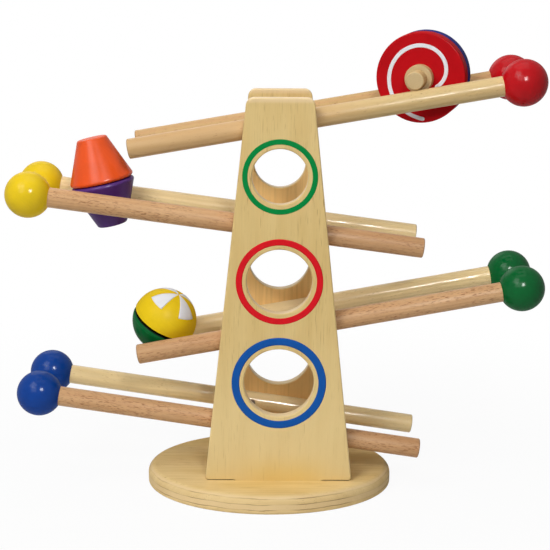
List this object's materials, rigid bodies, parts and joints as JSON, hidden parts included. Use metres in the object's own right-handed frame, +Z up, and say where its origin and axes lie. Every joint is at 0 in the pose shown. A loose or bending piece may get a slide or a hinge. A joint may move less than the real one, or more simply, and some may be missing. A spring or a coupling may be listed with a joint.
{
  "type": "shape ramp toy",
  "caption": "Wooden toy with an oval base, a tower of twin plates and zigzag ramps of paired rails with ball ends, on which a disc spool, a double cone and a two-colour ball roll.",
  "frame": {"origin": "on the floor, at the middle of the oval base's underside", "axes": "+X to the right, towards the high end of the red ramp; +Y to the back; +Z up"},
  "size_m": [0.434, 0.153, 0.38],
  "materials": {
    "plate_wood": "clear lacquer",
    "rail_wood": "clear lacquer",
    "pale_wood": "bare, smooth",
    "screw_steel": "plain",
    "red_paint": "gloss paint",
    "yellow_paint": "gloss paint",
    "green_paint": "gloss paint",
    "blue_paint": "gloss paint",
    "orange_paint": "gloss paint",
    "purple_paint": "gloss paint"
  },
  "bodies": {
    "tower": {"base": "plate_wood", "front_plate": "plate_wood", "back_plate": "plate_wood", "base_screws": "screw_steel", "red_ramp_front_rail": "rail_wood", "red_ramp_rear_rail": "rail_wood", "red_ramp_front_ball": "red_paint", "red_ramp_rear_ball": "red_paint", "red_ramp_screws": "screw_steel", "yellow_ramp_front_rail": "rail_wood", "yellow_ramp_rear_rail": "rail_wood", "yellow_ramp_front_ball": "yellow_paint", "yellow_ramp_rear_ball": "yellow_paint", "yellow_ramp_screws": "screw_steel", "green_ramp_front_rail": "rail_wood", "green_ramp_rear_rail": "rail_wood", "green_ramp_front_ball": "green_paint", "green_ramp_rear_ball": "green_paint", "green_ramp_screws": "screw_steel", "blue_ramp_front_rail": "rail_wood", "blue_ramp_rear_rail": "rail_wood", "blue_ramp_front_ball": "blue_paint", "blue_ramp_rear_ball": "blue_paint", "blue_ramp_screws": "screw_steel"},
    "spool_axle": {"spool_axle": "pale_wood"},
    "spool_discs": {"spool_red_disc": "red_paint", "spool_blue_disc": "blue_paint", "spool_front_hub": "pale_wood", "spool_rear_hub": "pale_wood"},
    "cone_dowel": {"cone_dowel": "pale_wood"},
    "double_cone": {"orange_cone": "orange_paint", "purple_cone": "purple_paint"},
    "ball_dowel": {"ball_dowel": "pale_wood"},
    "toy_ball": {"yellow_ball_half": "yellow_paint", "green_ball_half": "green_paint"}
  },
  "joints": [
    {"name": "spool_travel", "type": "slide", "parent": "tower", "child": "spool_axle", "axis": [0.9854, 0, 0.1702], "range_m": [-0.215, 0.027]},
    {"name": "spool_roll", "type": "hinge", "parent": "spool_axle", "child": "spool_discs", "pos_m": [0.12242, 0.0055, 0.34345], "axis": [0.3045, 0.9511, 0.0526], "continuous": true},
    {"name": "cone_travel", "type": "slide", "parent": "tower", "child": "cone_dowel", "axis": [-0.9914, 0, 0.1305], "range_m": [-0.25, 0.02]},
    {"name": "cone_turn", "type": "hinge", "parent": "cone_dowel", "child": "double_cone", "pos_m": [-0.13777, 0.0055, 0.25658], "axis": [-0.2164, 0, 0.9763], "continuous": true},
    {"name": "ball_travel", "type": "slide", "parent": "tower", "child": "ball_dowel", "axis": [0.9836, 0, 0.1805], "range_m": [-0.02, 0.26]},
    {"name": "ball_turn", "type": "hinge", "parent": "ball_dowel", "child": "toy_ball", "pos_m": [-0.08838, 0.0055, 0.13973], "axis": [0.4741, -0.2012, 0.8572], "continuous": true}
  ],
  "couplings": [
    {"joint": "spool_roll", "follows": "spool_travel", "rad_per_m": 132.09}
  ]
}
